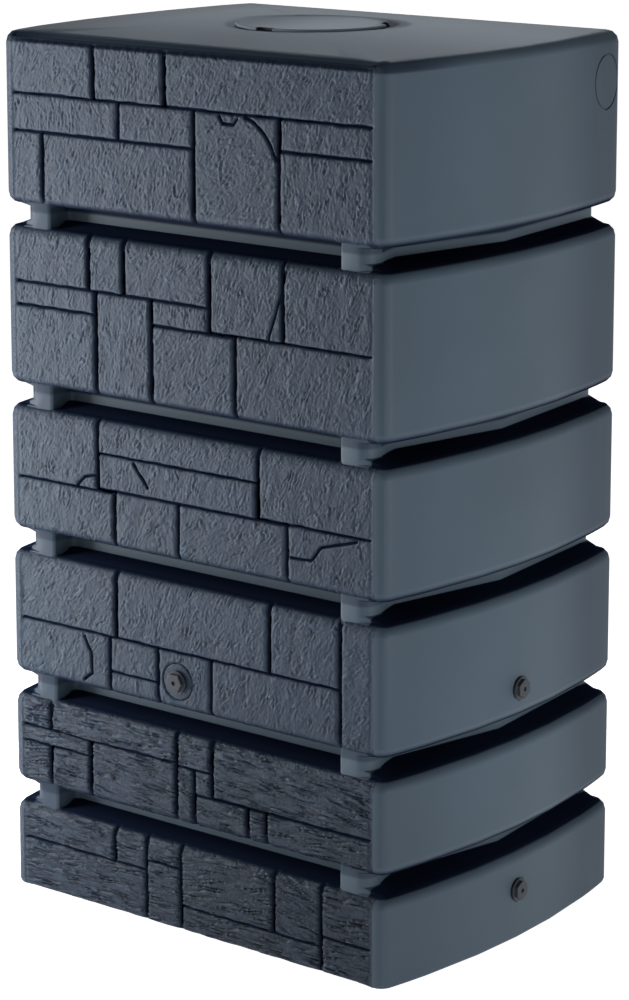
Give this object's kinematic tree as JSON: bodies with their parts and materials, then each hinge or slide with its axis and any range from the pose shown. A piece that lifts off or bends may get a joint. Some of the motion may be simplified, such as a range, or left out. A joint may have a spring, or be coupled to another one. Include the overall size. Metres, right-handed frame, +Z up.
{
  "type": "rainwater tank",
  "caption": "Slimline rainwater tank with a stone-effect front, deep belt grooves with corner posts, a round lift-off twist lid and threaded ports closed by plugs.",
  "frame": {"origin": "on the ground, under the middle of the whole box, plugs included", "axes": "+X to the right along the stone front, +Y from the front to the back, +Z up"},
  "size_m": [0.7136, 0.529, 1.2021],
  "materials": {
    "body_plastic": "satin rotomoulded polyethylene, anthracite",
    "lid_plastic": "satin moulded polyethylene, anthracite",
    "seal_rubber": "soft black rubber",
    "insert_brass": "turned brass",
    "plug_plastic": "satin dark grey plastic",
    "washer_rubber": "soft black rubber"
  },
  "bodies": {
    "tank": {"tank_body": "body_plastic", "tap_port_insert": "insert_brass", "tap_port_plug": "plug_plastic", "tap_port_washer": "washer_rubber", "right_upper_port_insert": "insert_brass", "right_upper_port_plug": "plug_plastic", "right_upper_port_washer": "washer_rubber", "right_lower_port_insert": "insert_brass", "right_lower_port_plug": "plug_plastic", "right_lower_port_washer": "washer_rubber", "left_upper_port_insert": "insert_brass", "left_upper_port_plug": "plug_plastic", "left_upper_port_washer": "washer_rubber", "left_lower_port_insert": "insert_brass", "left_lower_port_plug": "plug_plastic", "left_lower_port_washer": "washer_rubber"},
    "seal": {"lid_seal": "seal_rubber"},
    "lid": {"lid": "lid_plastic"}
  },
  "joints": [
    {"name": "lid_lift", "type": "slide", "parent": "tank", "child": "seal", "axis": [0, 0, 1], "range_m": [0, 0.15]},
    {"name": "lid_turn", "type": "hinge", "parent": "seal", "child": "lid", "pos_m": [0, 0.0045, 0], "axis": [0, 0, 1], "range_deg": [0, 55]}
  ]
}
